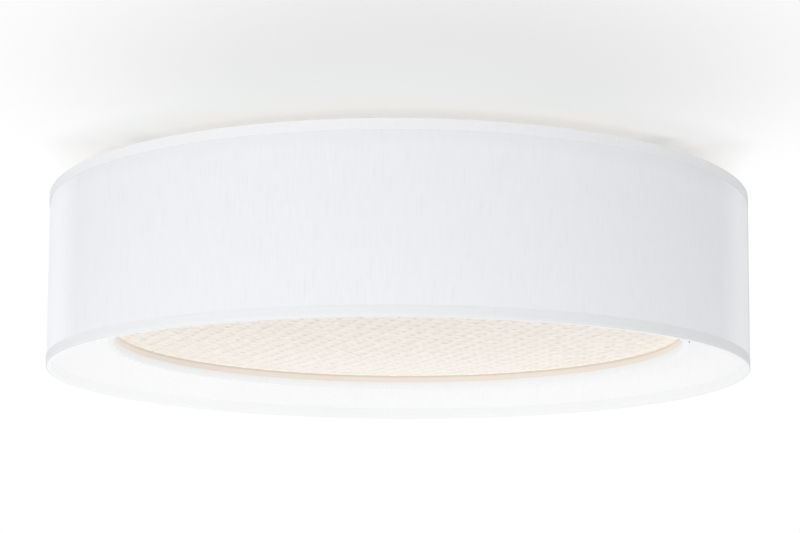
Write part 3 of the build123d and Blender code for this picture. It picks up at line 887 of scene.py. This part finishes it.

# Painted shade: the prisms' tips are painted darker than their sides, more so in some patches than
# in others
acrylic, tree, shader = plain_finish("prismatic acrylic", (0.48, 0.465, 0.44), 0.3)
where = place_on(tree)
grid = {"Vector": where, "Rotation": (0, 0, -PRISM_TURN), "Scale": (1 / PRISM,) * 3}
cell = vector(tree, "FRACTION", node(tree, "Mapping", grid).outputs[0])
apart = node(tree, "SeparateXYZ", {0: vector(tree, "SUBTRACT", cell, (0.5, 0.5, 0.5))}).outputs
squares = [number(tree, "MULTIPLY", apart[axis], apart[axis]) for axis in (0, 1)]
patches = ranged(tree, noise(tree, where, 40.0, 2.0), 0.3, 0.7, 0.5, 2.0)
reach = number(tree, "MULTIPLY", number(tree, "ADD", *squares), patches)
off_tip = ranged(tree, reach, 0.006, 0.045)
base = blended(tree, off_tip, (0.41, 0.385, 0.35), (0.485, 0.47, 0.445))
tree.links.new(base, shader.inputs["Base Color"])

# The light above is painted on as a glow in two warm tones, with fine specks, and strongest near
# the rim
tones = ranged(tree, noise(tree, where, 22.0, 2.0), 0.35, 0.65)
warm = blended(tree, tones, (1.0, 0.85, 0.69), (0.98, 0.885, 0.71))
lit = blended(tree, off_tip, (0.74, 0.57, 0.44), warm)
lit = scaled(tree, lit, ranged(tree, noise(tree, where, 170.0, 2.0), 0.35, 0.65, 0.84, 1.17))
lit = scaled(tree, lit, ranged(tree, from_axis(tree), 0.186, 0.2, 0.3, 0.4))

# The painted glow is stronger where the acrylic is seen straight on, and a painted gloss is added
# at a slant. The slant is that of the dish itself, without its prisms.
tilt = 2 * DROP / RIM_IN**2
down = vector(tree, "NORMALIZE", vector(tree, "MULTIPLY_ADD", where, (tilt, tilt, 0), (0, 0, -1)))
facing = node(tree, "LayerWeight", {"Blend": 0.5, "Normal": down}).outputs["Facing"]
lit = scaled(tree, lit, ranged(tree, facing, 0.45, 0.78, 1.45, 1.0))
painted_gloss = number(tree, "POWER", ranged(tree, facing, 0.78, 0.915), 2.0)
lit = vector(tree, "ADD", lit, scaled(tree, (0.095, 0.105, 0.115), painted_gloss))
tree.links.new(lit, shader.inputs["Emission Color"])
shader.inputs["Emission Strength"].default_value = 1.0
new_piece(
    "prismatic_panel", bm, "diffuser_panel", [acrylic], ["diffuser"], sharp=5
)

# Room
# A white ceiling over the light, seen only from below, and soft studio light from the left and the
# front. The ceiling fades to plain white away from the light.

ceiling, tree, shader = plain_finish("white ceiling", (0.94, 0.94, 0.935), 0.9)

# Painted light: the light that leaks up between the drums is painted on the ceiling as a warm glow,
# brighter and paler over the brackets. Over the pan the ceiling has a plain painted glow, which
# lights the pan's inside.
PAN_HALF = 0.127
leak = ranged(tree, from_axis(tree), 0.208, 0.266, 0.08, 0.0)
sides = node(tree, "SeparateXYZ", {0: vector(tree, "ABSOLUTE", place_on(tree))}).outputs
widest = number(tree, "MAXIMUM", sides[0], sides[1])
over_pan = ranged(tree, widest, PAN_HALF - 0.0005, PAN_HALF + 0.0005, 1.0, 0.0)
tone = blended(tree, over_pan, (1.0, 0.82, 0.66), (1, 1, 1))
product = number(tree, "MULTIPLY", sides[0], sides[1])
corners = number(tree, "DIVIDE", product, number(tree, "POWER", from_axis(tree), 2.0))
over_brackets = ranged(tree, corners, 0.475, 0.5, interpolation_type="SMOOTHSTEP")
leak = number(tree, "MULTIPLY", leak, ranged(tree, over_brackets, 0.0, 1.0, 1.0, 1.85))
leak = number(tree, "ADD", leak, number(tree, "MULTIPLY", over_pan, 0.3))
tone = blended(tree, over_brackets, tone, (0.84, 0.9, 1.0))
tree.links.new(tone, shader.inputs["Emission Color"])
tree.links.new(leak, shader.inputs["Emission Strength"])


def shown(tree):
    """1 for a ray from the camera, a reflection or something clear, and 0 for the rest."""
    rays = node(tree, "LightPath").outputs
    either = number(tree, "MAXIMUM", rays["Is Camera Ray"], rays["Is Glossy Ray"])
    return number(tree, "MAXIMUM", either, rays["Is Transmission Ray"])


# Plain white takes over away from the light, but not close round the drum
moved = {"Vector": place_on(tree), "Location": (-0.06, 1.0, 0), "Scale": (4.0, 3.4, 1)}
away = node(tree, "VectorMath", {0: node(tree, "Mapping", moved).outputs[0]}, operation="LENGTH")
fade = ranged(tree, away.outputs["Value"], 0.3, 1.2, interpolation_type="SMOOTHSTEP")
clear_of_drum = ranged(tree, from_axis(tree), 0.24, 0.285)
beside = ranged(tree, sides[0], 0.19, 0.235)
fade = number(tree, "MULTIPLY", fade, number(tree, "MAXIMUM", clear_of_drum, beside))
share = number(tree, "MULTIPLY", shown(tree), fade)
white = node(tree, "Emission", {"Color": (1, 1, 1, 1), "Strength": 1.0}).outputs[0]
below = node(tree, "MixShader", {0: share, 1: shader.outputs[0], 2: white}).outputs[0]
above = node(tree, "BsdfTransparent").outputs[0]
behind = node(tree, "NewGeometry").outputs["Backfacing"]
both = node(tree, "MixShader", {0: behind, 1: below, 2: above}).outputs[0]
tree.links.new(both, tree.nodes["Material Output"].inputs["Surface"])

# Just above the pan's flange, so that the two don't lie in one plane
CEILING_HALF, CEILING_LEVEL = 4.0, 0.0004
bm = bmesh.new()
bmesh.ops.create_grid(bm, x_segments=4, y_segments=4, size=CEILING_HALF)
bmesh.ops.reverse_faces(bm, faces=bm.faces)
bmesh.ops.translate(bm, verts=bm.verts, vec=(0, 0, CEILING_LEVEL))
mesh = bpy.data.meshes.new("ceiling")
bm.to_mesh(mesh)
bm.free()
mesh.materials.append(ceiling)
stage = bpy.data.objects.new("ceiling", mesh)
bpy.context.scene.collection.objects.link(stage)

world = bpy.data.worlds.new("studio")
bpy.context.scene.world = world
world.use_nodes = True
tree = world.node_tree
background = tree.nodes["Background"].inputs
background["Color"].default_value = (1, 1, 1, 1)
tree.links.new(ranged(tree, shown(tree), 0.0, 1.0, 0.735, 1.0), background["Strength"])


def soft_light(name, place, size, power):
    """A square soft light that points at the middle of the drum."""
    lamp = bpy.data.lights.new(name, "AREA")
    lamp.size = size
    lamp.energy = power
    made = bpy.data.objects.new(name, lamp)
    bpy.context.scene.collection.objects.link(made)
    made.location = place
    towards_drum = Vector((0, 0, -0.07)) - Vector(place)
    made.rotation_euler = towards_drum.to_track_quat("-Z", "Y").to_euler()


soft_light("key", (-1.2, -2.3, -0.9), 1.6, 18.5)
soft_light("fill", (1.8, -1.2, -1.2), 1.2, 1.2)

# The camera looks up a little from in front, with its frame moved so that the drum lies low in it
CAMERA_PLACE = (-0.00446, -1.4814, -0.34403)
PITCH, YAW, ROLL = 0.1099, 0.0041, 0.0045
camera = bpy.data.cameras.new("camera")
camera.sensor_width = 36
camera.lens = 93.56
camera.shift_y = 0.224
camera.clip_end = 50
eye = bpy.data.objects.new("camera", camera)
bpy.context.scene.collection.objects.link(eye)
ahead = Vector((math.cos(PITCH) * math.sin(YAW), math.cos(PITCH) * math.cos(YAW), math.sin(PITCH)))
level_right = Vector((math.cos(YAW), -math.sin(YAW), 0))
level_up = level_right.cross(ahead)
right = level_right * math.cos(ROLL) + level_up * math.sin(ROLL)
up = level_up * math.cos(ROLL) - level_right * math.sin(ROLL)
camera_axes = Matrix((right, up, -ahead)).transposed().to_4x4()
eye.matrix_world = Matrix.Translation(CAMERA_PLACE) @ camera_axes
bpy.context.scene.camera = eye
bpy.context.scene.view_settings.view_transform = "Standard"
